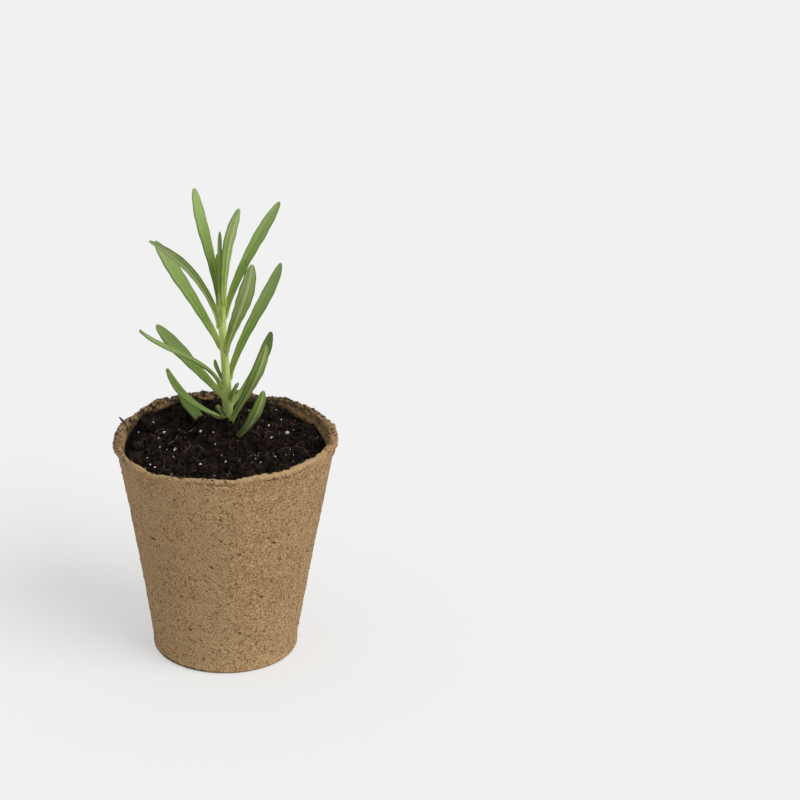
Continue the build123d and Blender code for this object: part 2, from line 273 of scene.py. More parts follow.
def grid_faces(rows, columns, closed_rows=False):
    """Quads of a grid of points laid row by row. Columns close on themselves, and rows too if asked."""
    row = np.arange(rows if closed_rows else rows - 1)[:, None]
    column = np.arange(columns)
    next_row = (row + 1) % rows * columns
    next_column = (column + 1) % columns
    here = row * columns
    return rows_from(here + column, here + next_column, next_row + next_column, next_row + column)


def put(name, data):
    """An object made from its data and linked into the scene."""
    made = bpy.data.objects.new(name, data)
    scene.collection.objects.link(made)
    return made


def make_piece(name, points, faces, body, slot, material, nodes=(), attributes=None, flat=False):
    """A mesh from points in millimetres, with its attributes and material, that rides on a body."""
    mesh = bpy.data.meshes.new(name)
    mesh.from_pydata(points.reshape(-1, 3) * MM, [], faces)
    for key, values in (attributes or {}).items():
        layer = mesh.attributes.new(key, "FLOAT_VECTOR", "POINT")
        layer.data.foreach_set("vector", np.asarray(values, np.float32).ravel())
    mesh.polygons.foreach_set("use_smooth", np.full(len(mesh.polygons), not flat))
    mesh.materials.append(material)
    mesh.update()
    piece = put(name, mesh)
    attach(piece, body)
    if nodes:
        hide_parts(*nodes)


def capped_tube(rings):
    """Points and faces of a tube through rings of points, with a fan closing each end."""
    rows, columns = rings.shape[:2]
    points = np.concatenate([rings.reshape(-1, 3), rings[[0, -1]].mean(axis=1)])
    sides = grid_faces(rows, columns).tolist()
    around = np.arange(columns)
    onward = (around + 1) % columns
    start = rows_from(rows * columns, onward, around)
    last = (rows - 1) * columns
    end = rows_from(rows * columns + 1, last + around, last + onward)
    return points, sides + start.tolist() + end.tolist()


def fine_tubes(paths, radii, sides=3):
    """Many thin tubes: a small polygon carried along each path, square to it, thinning to its ends."""
    count, rows = paths.shape[:2]
    along = unit(np.gradient(paths, axis=1))
    aside = unit(np.cross(along, SLANT_AXIS))
    above = np.cross(along, aside)
    taper = np.sin(np.pi * np.linspace(0.12, 0.92, rows))[:, None, None] * radii[:, None, None, None]
    angle = TURN * np.arange(sides)[:, None] / sides
    square = np.cos(angle) * aside[:, :, None] + np.sin(angle) * above[:, :, None]
    rings = paths[:, :, None] + taper * square
    start = np.arange(count)[:, None] * rows * sides
    faces = (grid_faces(rows, sides) + start[:, None]).reshape(-1, 4).tolist()
    first = np.arange(sides)[::-1] + start
    final = np.arange(sides) + start + (rows - 1) * sides
    return rings.reshape(-1, 3), faces + first.tolist() + final.tolist()


def fibre_piece(name, paths, thinnest, thickest, body, slot, material):
    """A piece made of fibres along paths, each of its own radius."""
    radii = rng.uniform(thinnest, thickest, len(paths))
    make_piece(name, *fine_tubes(paths, radii), body, slot, material)


def lumps(centres, sizes, squash=0.75):
    """Many small rough grains: icosahedra with their corners pushed in and out, turned at random."""
    golden = (1 + 5**0.5) / 2
    corners = [(a, b * golden, 0) for a in (-1, 1) for b in (-1, 1)]
    corners = np.array([np.roll(corner, turn) for turn in range(3) for corner in corners]) / golden
    gaps = np.linalg.norm(corners[:, None] - corners, axis=-1)
    near = gaps < 1.3 * np.sort(gaps, axis=1)[0, 1]
    trios = [t for t in itertools.combinations(range(12), 3) if near[np.ix_(t, t)].all()]
    tris = np.array([t if np.linalg.det(corners[list(t)]) > 0 else (t[0], t[2], t[1]) for t in trios])
    count = len(centres)
    spin = unit(rng.normal(size=(count, 4)))[:, None]
    turn, axis = spin[..., :1], spin[..., 1:]
    stretch = rng.uniform(squash, 1, (count, 1, 3)) * rng.uniform(0.75, 1.15, (count, 12, 1))
    grains = corners * stretch
    grains = grains + 2 * np.cross(axis, np.cross(axis, grains) + turn * grains)
    points = centres[:, None] + grains * (sizes / 2)[:, None, None]
    faces = (tris + 12 * np.arange(count)[:, None, None]).reshape(-1, 3)
    return points.reshape(-1, 3), faces.tolist()


def linear(code):
    """Linear colour, with alpha, from an sRGB hex code."""
    shares = [int(code[i:i + 2], 16) / 255 for i in (1, 3, 5)]
    return (*[s / 12.92 if s <= 0.04045 else ((s + 0.055) / 1.055) ** 2.4 for s in shares], 1.0)


def feed(node, inputs):
    """Gives each named or numbered input of a node a value or a link."""
    for key, value in inputs.items():
        if isinstance(value, bpy.types.NodeSocket):
            node.id_data.links.new(value, node.inputs[key])
        else:
            node.inputs[key].default_value = value


def add(tree, kind, inputs=None, **settings):
    """Adds a shader node with its settings and inputs, and hands on its outputs."""
    made = tree.nodes.new("ShaderNode" + kind)
    for key, value in settings.items():
        setattr(made, key, value)
    feed(made, inputs or {})
    return made.outputs


def new_material(name):
    """A node material, and a socket with the place of each point in metres."""
    material = bpy.data.materials.new(name)
    material.use_nodes = True
    return material, add(material.node_tree, "TexCoord")["Object"]


def maths(operation, *values):
    """Result of one operation on values and sockets."""
    tree = next(value.id_data for value in values if isinstance(value, bpy.types.NodeSocket))
    return add(tree, "Math", dict(enumerate(values)), operation=operation)[0]


def ranged(value, low, high, start=0.0, end=1.0):
    """A value carried from one range over to another, and held at its ends."""
    return add(value.id_data, "MapRange", {0: value, 1: low, 2: high, 3: start, 4: end})[0]


def mark(material, name):
    """A mark that the mesh carries, as a vector."""
    return add(material.node_tree, "Attribute", attribute_name=name)["Vector"]


def parts(vector):
    """The three parts of a vector."""
    return add(vector.id_data, "SeparateXYZ", {0: vector})


def mapped(vector, scale=(1, 1, 1), turn=(0, 0, 0)):
    """A place, scaled and turned."""
    return add(vector.id_data, "Mapping", {"Vector": vector, "Scale": scale, "Rotation": turn})[0]


def clouds(place, size, detail=2.0, roughness=0.5, output=0):
    """Noise from 0 to 1 with features of a size in millimetres."""
    inputs = {"Vector": place, "Scale": 1 / (size * MM), "Detail": detail, "Roughness": roughness}
    return add(place.id_data, "TexNoise", inputs)[output]


def cells(place, size):
    """Cells of a size in millimetres: a random value for each, and the distance from its middle."""
    made = add(place.id_data, "TexVoronoi", {"Vector": place, "Scale": 1 / (size * MM)})
    return add(place.id_data, "SeparateColor", {0: made["Color"]})[0], made["Distance"]


def layered(ground, *layers):
    """Tones laid over a ground tone. A layer has a factor, its start and end, a tone and its most cover."""
    colour = linear(ground)
    for factor, low, high, tone, most in layers:
        share = ranged(factor, low, high, 0.0, most)
        colour = add(share.id_data, "Mix", {0: share, 6: colour, 7: linear(tone)}, data_type="RGBA")[2]
    return colour


def dress(material, colour, height, strength, depth, finish):
    """Gives a material its colour, a bump with its strength and depth in millimetres, and its finish."""
    bump = add(height.id_data, "Bump", {"Strength": strength, "Distance": depth * MM, "Height": height})[0]
    feed(material.node_tree.nodes["Principled BSDF"], finish | {"Base Color": colour, "Normal": bump})
    return material


def mesh_print(place, print_place, printed):
    """Print of the wire mesh, as ridges, for the bump and a painted highlight, and the hollows between, for
    painted shade: slanting sets of waves, broken into dashes, that fade in places. Where two sets cross, the
    stronger one shows."""
    fade = ranged(clouds(place, 9), 0.36, 0.56, 0.35, 1.0)
    fade = maths("MULTIPLY", fade, printed)
    ridges, groove_shades = [], []
    for slant, share in PRINT_SETS:
        line = mapped(print_place, turn=(0, 0, np.radians(slant)))
        wave = add(place.id_data, "TexWave", {
            "Vector": line, "Scale": TURN / WAVE_RATE / PRINT_PITCH,
            "Distortion": 1.5, "Detail": 2.0, "Detail Scale": 1.2,
        })["Fac"]
        dash = clouds(mapped(line, (1.0, 0.3, 1.0)), UNIT, 1.0)
        dash = maths("MULTIPLY", ranged(dash, 0.3, 0.55, 0.2 * share, share), fade)
        ridges.append(maths("MULTIPLY", wave, dash))
        groove_shades.append(maths("MULTIPLY", maths("SUBTRACT", 1.0, wave), dash))
    return maths("MAXIMUM", *ridges), maths("MAXIMUM", *groove_shades)


def bark_flecks(place):
    """Flecks of bark, coarse to fine: cells, bent out of round, of which some chosen at random are dark."""
    bend = clouds(place, 0.9, 1.0, output="Color")
    sway = {0: bend, 1: (FLECK_SWAY * MM,) * 3, 2: place}
    bent = add(place.id_data, "VectorMath", sway, operation="MULTIPLY_ADD")[0]
    flecks = []
    for size, stretch, plain in FLECKS:
        chosen, distance = cells(mapped(bent, stretch, (0.4, 0.5, size)), size)
        reach = ranged(chosen, plain, 1.0, 0.0, 0.34)
        flecks.append(ranged(maths("SUBTRACT", reach, distance), 0.0, 0.16))
    return flecks


def peat_fibre_material():
    """Moulded peat and wood fibre: tan pulp, dull and warm, with the slanting print of a wire mesh, fine
    grain, brown flecks of bark, and a dark wet stain where compost has touched it. Painted light is laid in
    too: a lighter band low on the wall, painted highlight and shade on the print, painted shade in the crease
    under the front edge, and a painted contact shadow at the foot."""
    material, place = new_material("moulded_peat_fibre")
    print_place = mark(material, "print_place")
    low = parts(print_place)[1]
    printed, worn, _ = parts(mark(material, "wear"))
    damp_and_crease_shade, torn, _ = parts(mark(material, "zone"))
    blotch = clouds(place, 14, 3.0)
    mottle = clouds(place, 2.6, 4.0, 0.65)
    grain = clouds(place, 0.6, 2.5, 0.65)
    ridge, groove_shade = mesh_print(place, print_place, printed)
    coarse, middling, fine = bark_flecks(place)
    stain = maths("MULTIPLY_ADD", mottle, 1.3, damp_and_crease_shade)
    pale_edge = maths("MULTIPLY", torn, blotch)
    colour = layered(
        "#A5865F",
        (blotch, 0.35, 0.68, "#92744F", 0.6),
        # Painted light: the wall is lighter towards the foot, as light thrown up from the floor
        (low, 34.0, 0.0, "#B99B72", 0.5),
        (worn, 0, 1, "#866748", 0.2),
        (mottle, 0.5, 0.75, "#7D5F3C", 0.55),
        (mottle, 0.46, 0.28, "#B5976F", 0.45),
        (grain, 0.49, 0.66, "#523A20", 0.85),
        (grain, 0.47, 0.29, "#D0B388", 0.65),
        # Painted highlight on the print's ridges and painted shade in the hollows between them
        (ridge, 0.3, 0.85, "#CDB085", 0.75),
        (groove_shade, 0.3, 0.85, "#5E4328", 0.75),
        (fine, 0, 1, "#4A321B", 0.6),
        (middling, 0, 1, "#4C331C", 0.75),
        (coarse, 0, 1, "#372412", 0.85),
        (pale_edge, 0.2, 0.7, "#C4A67B", 0.7),
        # Painted contact shadow: a thin dark line round the bottom of the foot
        (low, 1.0, 0.2, "#453220", 0.7),
        # Partly real stains from compost and water, and partly painted shade in the crease under the front
        # edge
        (stain, 1.1, 1.7, "#2A1D14", 0.92),
    )
    height = maths("MULTIPLY", ridge, 0.5)
    for part, weight in ((grain, 0.8), (mottle, 0.9), (coarse, -0.5)):
        height = maths("MULTIPLY_ADD", part, weight, height)
    return dress(material, colour, height, 0.8, 0.35, {"Roughness": 0.92, "Specular IOR Level": 0.2})


def compost_material():
    """Damp peat compost: near black crumbs that swallow light, with brown fibre and bark here and there,
    painted highlights on the crumbs that stand up and painted shade in the crevices.
    """
    material, place = new_material("damp_compost")
    relief = parts(mark(material, "relief"))[0]
    crumb = clouds(place, 2.2, 5.0, 0.7)
    grit = clouds(place, 0.42, 3.0, 0.75)
    bark, _ = cells(place, 1.1)
    colour = layered(
        "#0D0806",
        (crumb, 0.42, 0.7, "#21170F", 1.0),
        # Painted highlight: crumbs that stand above the broad form are lighter
        (relief, 0, 1, "#2C211A", 0.85),
        (grit, 0.58, 0.76, "#4A382B", 0.8),
        (bark, 0.93, 0.97, "#3A2418", 0.6),
        (grit, 0.44, 0.27, "#040202", 0.9),
        # Painted shade: crevices below the broad form are near black
        (relief, -0.1, -0.9, "#020101", 0.95),
    )
    height = maths("MULTIPLY_ADD", grit, 0.5, crumb)
    return dress(material, colour, height, 0.9, 0.4, {"Roughness": 0.8, "Specular IOR Level": 0.08})


def perlite_material():
    """Expanded perlite: chalk white and dull, with shallow pits and a trace of brown from the compost."""
    material, place = new_material("expanded_perlite")
    pits = clouds(place, 0.5, 3.0)
    soil = clouds(place, 1.8)
    colour = layered("#EDEBE6", (soil, 0.38, 0.66, "#7E6A58", 0.9))
    return dress(material, colour, pits, 0.7, 0.2, {"Roughness": 0.85})


def leaf_material():
    """Lavender leaf: a downy narrow blade, mid green above, greyer below with a pale raised midrib, pale at
    its base, with painted shade in the channel above, in two lines beside the midrib below and at its rolled
    edges.
    Leaves above the compost turn paler and greyer towards the tip, and those low on the stem are darker, as
    old leaves and as painted shade. The down gives a soft sheen, and a little light passes into the blade."""
    material, place = new_material("lavender_leaf")
    along, across, upper = parts(mark(material, "blade"))
    age_and_shade, tip_paling, dirt = parts(mark(material, "state"))
    veins = clouds(mark(material, "vein_place"), UNIT, 3.0, 0.6)
    patch = clouds(place, 9, 3.0)
    down = clouds(place, 0.35)
    off_middle = maths("ABSOLUTE", across)
    under = ranged(upper, 0.2, -0.2)
    above = maths("SUBTRACT", 1.0, under)
    tip_paling = maths("MULTIPLY", along, tip_paling)
    # Darkening for old leaves and painted shade shows on the outer half and less on the underside
    for share in (ranged(along, 0.15, 0.5, 0.3, 1.0), ranged(under, 0.0, 1.0, 1.0, 0.35)):
        age_and_shade = maths("MULTIPLY", age_and_shade, share)
    midrib = maths("MULTIPLY", ranged(off_middle, 0.24, 0.12), under)
    off_line = maths("ABSOLUTE", maths("SUBTRACT", off_middle, 0.34))
    beside = maths("MULTIPLY", ranged(off_line, 0.15, 0.03), under)
    groove_shade = maths("MULTIPLY", ranged(off_middle, 0.17, 0.03), above)
    colour = layered(
        "#7E9A40",
        (under, 0, 1, "#8B9C50", 0.75),
        # Partly real and partly painted shade: leaves low on the stem are old, and darker as they get less
        # light
        (age_and_shade, 0, 1, "#4F661F", 0.6),
        (patch, 0.5, 0.75, "#66822F", 0.8),
        (veins, 0.5, 0.72, "#9DB062", 0.55),
        (veins, 0.48, 0.3, "#5F772C", 0.7),
        # Painted shade in the channel along the middle of the upper side
        (groove_shade, 0, 1, "#56702A", 0.35),
        # Painted shade in the two hollows beside the raised midrib on the underside
        (beside, 0, 1, "#566D2C", 0.5),
        (midrib, 0, 1, "#B4C07E", 0.65),
        # Paler and greyer towards the tip of leaves above the compost
        (tip_paling, 0.4, 0.95, "#9FB07C", 0.45),
        # Painted shade on the rolled edges of the blade
        (off_middle, 0.72, 0.97, "#455C22", 0.8),
        (along, 0.25, 0.0, "#AFBF66", 0.75),
        # More of the same darkening, for old leaves and painted shade, on the lowest leaves
        (age_and_shade, 0.2, 1.2, "#465B1D", 0.45),
        (dirt, 0, 1, "#2B2313", 0.85),
    )
    height = maths("MULTIPLY_ADD", down, 0.35, veins)
    finish = {"Roughness": 0.55, "Specular IOR Level": 0.2, "Sheen Weight": 0.1, "Sheen Roughness": 0.5}
    return dress(material, colour, height, 0.5, 0.15, finish | DOWNY_FLESH)


def stem_material():
    """Young lavender stem: square and downy, pale yellow green, with fine darker lines along its flats."""
    material, place = new_material("lavender_stem")
    lines = clouds(mapped(place, (1, 1, 0.08)), 0.6, 3.0)
    patch = clouds(place, 6)
    height = parts(place)[2]
    colour = layered(
        "#B4C76B",
        (lines, 0.5, 0.75, "#8BA047", 0.75),
        (lines, 0.45, 0.3, "#C3CF84", 0.7),
        (patch, 0.5, 0.75, "#9FB25A", 0.6),
        (height, 102 * MM, 84 * MM, "#71853A", 0.7),
    )
    return dress(material, colour, lines, 0.5, 0.15, {"Roughness": 0.55, "Sheen Weight": 0.2} | DOWNY_FLESH)


def fibre_material(name, pale, dark, size):
    """Plant fibre such as straw, root or bast: dull, streaked between two tones along its length."""
    material, place = new_material(name)
    streak = clouds(place, size)
    colour = layered(pale, (streak, 0.35, 0.65, dark, 1.0))
    return dress(material, colour, streak, 0.4, 0.1, {"Roughness": 0.8})


def floor_material():
    """Pale matte paper ground. To the camera, half of it is an even tone, so shadows on it stay faint."""
    material, place = new_material("pale_ground")
    tooth = clouds(place, 0.8)
    tone = layered("#F2F2F2", (tooth, 0, 1, "#F4F4F3", 1.0))
    tree = material.node_tree
    shader = tree.nodes["Principled BSDF"]
    feed(shader, {"Base Color": tone, "Roughness": 1.0, "Specular IOR Level": 0.0})
    seen = maths("MULTIPLY", add(tree, "LightPath")["Is Camera Ray"], 0.5)
    even = add(tree, "Emission", {"Color": linear("#F2F2F2"), "Strength": 1.0})[0]
    both = add(tree, "MixShader", {0: seen, 1: shader.outputs[0], 2: even})[0]
    feed(tree.nodes["Material Output"], {"Surface": both})
    return material


def wall_radius(height):
    """Outside radius of the wall: straight at the foot band, then a straight taper to the neck and on."""
    slope = (LIP_RADIUS - LIP_OVERHANG - BASE_RADIUS) / (NECK_HEIGHT - FOOT_BAND_HEIGHT)
    return BASE_RADIUS + slope * np.maximum(height - FOOT_BAND_HEIGHT, 0)


def rim_height(angle):
    """Height of the torn rim at an angle: its mean height and its waves."""
    height = POT_HEIGHT + RIM_LIFT
    for rise, waves, azimuth in RIM_WAVES:
        height = height + rise * np.cos(waves * (angle - np.radians(azimuth)))
    return height


def rim_edge(angle):
    """Height of the rim's round edge: some stretches are blunter."""
    return 1.3 + 0.35 * np.cos(4 * angle + 2)


def outside_radius(height, angle):
    """Wall radius with the lip flaring out over the neck, less so at the front."""
    front = np.maximum(0, -np.sin(angle)) ** 3
    lip = LIP_RADIUS - LIP_INSET - LIP_OVERHANG * FRONT_LIP_LOSS * front
    neck = NECK_HEIGHT + 1.2 * np.cos(3 * angle + 1) + 1.5 * front
    wall = wall_radius(height)
    return wall + np.maximum(lip - wall, 0) * smooth(height, neck, neck + 3.0)


def inside_radius(height):
    """Inner wall radius: the taper less the wall, and at the lip its outside less the lip's thickness."""
    lip = LIP_RADIUS - LIP_THICKNESS
    wall = wall_radius(height) - WALL_THICKNESS
    return wall + (lip - wall) * smooth(height, NECK_HEIGHT, POT_HEIGHT)


def lip_share(height):
    """0 on the wall and 1 on the lip."""
    return smooth(height, NECK_HEIGHT - 1, POT_HEIGHT - 2)


def front_calm(points):
    """Share of the torn roughness that is left where the lip is pressed back at the front."""
    return 1 - FRONT_CALM * smooth(-points[..., 1], 8, 28)


def wall_push(points, height):
    """How far pulp stands off the plain form: dents, lumps and grain, and a rougher, torn, pitted lip."""
    shell = smooth(height, FLOOR_TOP, FLOOR_TOP + 3)
    torn = rough(points, *TORN_LAYERS) - TORN_LOSS
    torn = torn - PIT_DEPTH * smooth(noise(points, 1.7, 7), 0.25, 0.6)
    return shell * rough(points, *PULP_LAYERS) + lip_share(height) * torn * front_calm(points)


def two_runs(split, first, second):
    """Shares from 0 to 1 in two runs of even steps that meet at a split."""
    return np.concatenate([np.linspace(0, split, first), np.linspace(split, 1, second)[1:]])


def pot_section(angle):
    """Section of the pot at each angle, row by row: outside up, over the rim, inside down, floor, drain hole,
    underside. Gives radius, height and side, which is 0 outside, 0.5 on the rim and 1 inside."""

    def spread(steps):
        """Steps down the section, the same at every angle."""
        return np.asarray(steps)[:, None] + 0 * angle

    edge = rim_edge(angle)
    top = rim_height(angle) - edge
    corner = spread(np.linspace(-90, 0, 7)[:-1]) * np.pi / 180
    out_height = FOOT_CORNER + (top - FOOT_CORNER) * spread(two_runs(0.89, 86, 27))
    bend = spread(np.linspace(0, 180, 17)[1:-1]) * np.pi / 180
    outer = outside_radius(top, angle)
    inner = inside_radius(top)
    in_height = top + (FLOOR_TOP + 0.02 - top) * spread(two_runs(0.12, 26, 24))
    rounding = FLOOR_ROUNDING * (1 - smooth(in_height, FLOOR_TOP - 0.3, FLOOR_TOP + FLOOR_CORNER))
    floor_end = BASE_RADIUS - WALL_THICKNESS - FLOOR_CORNER
    floor_radius = spread(np.linspace(floor_end, HOLE_RADIUS + HOLE_EDGE, 8))
    hole_height = spread(np.linspace(FLOOR_TOP - HOLE_EDGE, FOOT_RISE + HOLE_EDGE, 4))
    foot = BASE_RADIUS - FOOT_CORNER
    under = (
        (HOLE_RADIUS + HOLE_EDGE, FOOT_RISE),
        (12, FOOT_RISE),
        (FOOT_HOLLOW_RADIUS - 1, FOOT_RISE),
        (FOOT_HOLLOW_RADIUS, 0.1),
        (FOOT_HOLLOW_RADIUS + 0.6, 0),
        (foot - 0.5, 0),
    )
    under_radius, under_height = (spread(column) for column in zip(*under))
    bands = (
        (foot + FOOT_CORNER * np.cos(corner), FOOT_CORNER + FOOT_CORNER * np.sin(corner), 0),
        (outside_radius(out_height, angle), out_height, 0),
        ((outer + inner) / 2 + (outer - inner) / 2 * np.cos(bend), top + edge * np.sin(bend), 0.5),
        (inside_radius(in_height) - rounding, in_height, 1),
        (floor_radius, FLOOR_TOP - 0.02, 1),
        (HOLE_RADIUS, hole_height, 0),
        (under_radius, under_height, 0),
    )
    return np.concatenate([np.stack(np.broadcast_arrays(*band)) for band in bands], axis=1)


def pot_marks(points, angle, side, crease):
    """Marks for the pot's material: the place on the unrolled wall, for the print; stains, from compost, at
    the foot and at the left, with painted shade in the crease; the torn edge; and where the print shows and
    is worn."""
    height = points[..., 2]
    front = -np.sin(angle)
    back = smooth(-front, 0.1, 0.8)
    brim = SOIL_LEVEL + bank_height(points[..., 0], points[..., 1]) + rough(points, (1.8, 6, 8, 2))
    foot_stain = smooth(np.cos(angle - np.radians(FOOT_STAIN_AZIMUTH)), 0.5, 1.0)
    damp_and_crease_shade = np.maximum.reduce([
        np.where(side == 1, 1 - smooth(height, brim - 2.0, brim + 2.2), 0),
        np.where(side == 0.5, 0.55, 0.25 * smooth(height, POT_HEIGHT - 4, POT_HEIGHT)) * back,
        0.95 * ((1 - smooth(height, 0.3, 3.5)) * foot_stain),
        # Painted shade in the crease under the front edge, not a stain
        0.75 * crease,
        0.6 * smooth(-np.cos(angle), 0.6, 0.95) * smooth(height, POT_HEIGHT - 4, POT_HEIGHT - 1),
    ])
    torn = smooth(height - rim_height(angle), -2.6, -0.3) * (side < 1) * smooth(front, 0.0, 0.6)
    worn = smooth(np.cos(angle - np.radians(WORN_AZIMUTH)), 0.2, 0.8)
    printed = (1 - side) * (1 - 0.65 * worn) * smooth(1 + front, 0.0, 0.03)
    return {
        "print_place": rows_from(angle * PRINT_RADIUS, height, 0),
        "zone": rows_from(damp_and_crease_shade, torn, 0),
        "wear": rows_from(printed, worn, 0),
    }


def pot_surface():
    """Closed skin of the pot: its section carried round the axis, with roughness, a broken crease under the
    front edge, where the lip was pressed back, and a ragged lip added along the section's normal."""
    angle = TURN * (np.arange(POT_COLUMNS) / POT_COLUMNS + 0.25)  # starts at the back
    radius, height, side = pot_section(angle)
    rise, run = (np.roll(line, -1, 0) - np.roll(line, 1, 0) for line in (height, radius))
    length = np.hypot(rise, run) + 1e-9
    normal_out, normal_up = rise / length, -run / length
    points = round_axis(radius, angle, height)
    push = wall_push(points, height)
    push = np.where(side == 1, np.minimum(0.6 * push, 0.05), push)
    crease = bell(height - rim_height(angle) + CREASE_DROP, CREASE_WIDTH) * smooth(-np.sin(angle), 0.1, 0.6)
    crease = crease * smooth(noise(points, 8, 9), -0.3, 0.2) * (side == 0)
    push = push - CREASE_DEPTH * crease
    ragged = lip_share(height) * smooth(height, POT_HEIGHT - 3, POT_HEIGHT) * front_calm(points)
    radius = np.minimum(radius + push * normal_out, LIP_RADIUS)
    height = height + push * normal_up + ragged * rough(points, RAG_LAYER)
    points = round_axis(radius, angle, height)
    faces = grid_faces(len(radius), POT_COLUMNS, closed_rows=True)
    return points, faces.tolist(), pot_marks(points, angle, side, crease)


def clod_height(x, y):
    """Height of the clods: round heaps spread by the golden angle, with gaps between them."""
    highest = 0 * x
    for order in range(CLOD_COUNT):
        reach = CLOD_FIELD_RADIUS * np.sqrt((order + 0.5) / CLOD_COUNT)
        spot = reach * turned(GOLDEN_ANGLE * order)
        radius = CLOD_RADIUS + CLOD_SPREAD * (GOLDEN_SHARE * order % 1)
        highest = np.maximum(highest, 1 - ((x - spot[0]) ** 2 + (y - spot[1]) ** 2) / radius**2)
    return CLOD_HEIGHT * highest - CLOD_SINK


def bank_height(x, y):
    """Height of the bank behind the stem: a straight slope up to the back wall."""
    across, along, _ = turned(BANK_AZIMUTH)
    return BANK_RISE * np.maximum(0, (x - STEM_BASE[0]) * across + (y - STEM_BASE[1]) * along)


def crumbly_height(x, y):
    """Height of the compost: a level, a round mound at the stem, a hollow beside it, a bank at the back and
    uneven clods, as in the CAD model, with crumbs, cracks and grit on them."""
    away = from_stem(x, y)
    from_hollow = np.hypot(x - HOLLOW_CENTRE[0], y - HOLLOW_CENTRE[1])
    height = SOIL_LEVEL + MOUND_HEIGHT * bell(away, MOUND_RADIUS)
    height = height - HOLLOW_DEPTH * bell(from_hollow, HOLLOW_RADIUS) + bank_height(x, y)
    flat = np.stack([x, y, 0 * x], -1)
    clods = clod_height(x + CLOD_WANDER * noise(flat, 5, 11), y + CLOD_WANDER * noise(flat, 5, 18))
    height = height + clods * (1 - bell(away, CLOD_STEM_MARGIN))
    crumbs = CRUMB_HEIGHT * (0.35 - np.abs(noise(flat, 2.6, 12, 2)))
    cracks = CRACK_DEPTH * (1 - smooth(np.abs(noise(flat, 6.5, 17)), 0.0, 0.13))
    return height + (crumbs - cracks) * smooth(away, 1, 5) + rough(flat, GRIT_LAYER)


def compost_plug():
    """Closed plug of compost: underside out, side up along the pot's taper, then in over the crumbly top. Its
    side is roughened inwards only, and its top starts as far out as the wall is there, so both clear it."""
    angle = TURN * np.arange(SOIL_COLUMNS) / SOIL_COLUMNS
    east, north = np.cos(angle), np.sin(angle)
    brim_level = SOIL_LEVEL + bank_height(LIP_RADIUS * east, LIP_RADIUS * north)
    brim = inside_radius(brim_level) - PLUG_CLEARANCE
    settled = np.minimum(brim_level, crumbly_height(brim * east, brim * north) - BRIM_DIP)
    brim = inside_radius(settled) - PLUG_CLEARANCE
    foot = inside_radius(FLOOR_TOP) - PLUG_CLEARANCE - FLOOR_CORNER
    under = np.linspace(0.3, foot, 10)[:, None] + 0 * angle
    rise = np.linspace(FLOOR_TOP + 0.1, brim_level - 1.5, 76)
    rounding = FLOOR_CORNER * (1 - smooth(rise, FLOOR_TOP - 1, FLOOR_TOP + 3))
    side = inside_radius(rise) - PLUG_CLEARANCE - rounding
    spots = round_axis(side, angle, rise)
    side = side - 0.25 - 0.25 * np.abs(noise(spots, 4, 15, 2)) - 0.2 * np.abs(noise(spots, 1.3, 16, 2))
    top = np.linspace(brim, 0.15, 112)
    radius = np.concatenate([under, side, top])
    surface = crumbly_height(top * east, top * north)
    level = np.concatenate([under * 0 + FLOOR_TOP + 0.1, rise])
    # How far the top stands above its own broad form, crumbs above and crevices below, for painted highlights
    # and painted shade
    around = surface
    for axis, reach in ((0, 9), (1, 12)):
        around = sum(np.roll(around, shift, axis) for shift in range(-reach, reach + 1)) / (2 * reach + 1)
    relief = np.concatenate([0 * level, np.clip(1.2 * (surface - around), -1, 1)]).ravel()
    marks = {"relief": rows_from(np.append(relief, [0, 0]), 0, 0)}
    return *capped_tube(round_axis(radius, angle, np.concatenate([level, surface]))), marks


def scatter(count, reach, keep_out=2.6):
    """Random spots over a disc, evenly spread, that leave the stem free."""
    radius = reach * np.sqrt(rng.random(count))
    angle = TURN * rng.random(count)
    x, y = radius * np.cos(angle), radius * np.sin(angle)
    free = from_stem(x, y) > keep_out
    return x[free], y[free]


def perlite_spots():
    """The grains of the CAD model, spread by the golden angle, and finer specks between them at random."""
    order = np.arange(GRAIN_COUNT)
    reach = (inside_radius(NECK_HEIGHT) - 4) * np.sqrt((order + 0.5) / GRAIN_COUNT)
    angle = np.radians(GOLDEN_ANGLE * order)
    x, y = (FACET_STEP * np.round(reach * wave / FACET_STEP) for wave in (np.cos(angle), np.sin(angle)))
    size = 0.8 + 1.1 * (GOLDEN_SHARE * order % 1)
    free = from_stem(x, y) > 6.5
    fine_x, fine_y = scatter(SPECK_COUNT, 34, 4.5)
    fine_size = 0.28 + 0.95 * rng.random(len(fine_x)) ** 3.5
    return np.append(x[free], fine_x), np.append(y[free], fine_y), np.append(size[free], fine_size)


def lying_fibres(count, longest, lift):
    """Fibres that lie on the compost: short bent paths over it, each with its own heading and curl."""
    x, y = scatter(count, 32)
    count = len(x)
    heading = TURN * rng.random((count, 1))
    curl = rng.normal(0, 0.9, (count, 1))
    step = np.linspace(-0.5, 0.5, 7)
    length = longest * rng.uniform(0.3, 1, (count, 1))
    path_x = x[:, None] + length * step * np.cos(heading + curl * step)
    path_y = y[:, None] + length * step * np.sin(heading + curl * step)
    arch = lift * (1 - (2 * step) ** 2) * rng.random((count, 1))
    return np.stack([path_x, path_y, crumbly_height(path_x, path_y) + 0.12 + arch], -1)


def laid_straw(start, end):
    """Path of one straight fibre between two spots, laid over the bumps of the compost."""
    x, y = np.linspace(start, end, 12).T
    surface = crumbly_height(x, y)
    bridged = np.convolve(np.pad(surface, 2, "edge"), np.ones(5) / 5, "valid")
    return rows_from(x, y, 0.15 + np.maximum(surface, bridged))


def hung_twig(start, end):
    """Path of a short twig hung over an edge: a straight line that arches up in the middle."""
    step = np.linspace(0, 1, 7)[:, None]
    arch = 0.5 * np.sin(np.pi * step) * (0, 0, 1)
    return np.linspace(start, end, 7) + arch


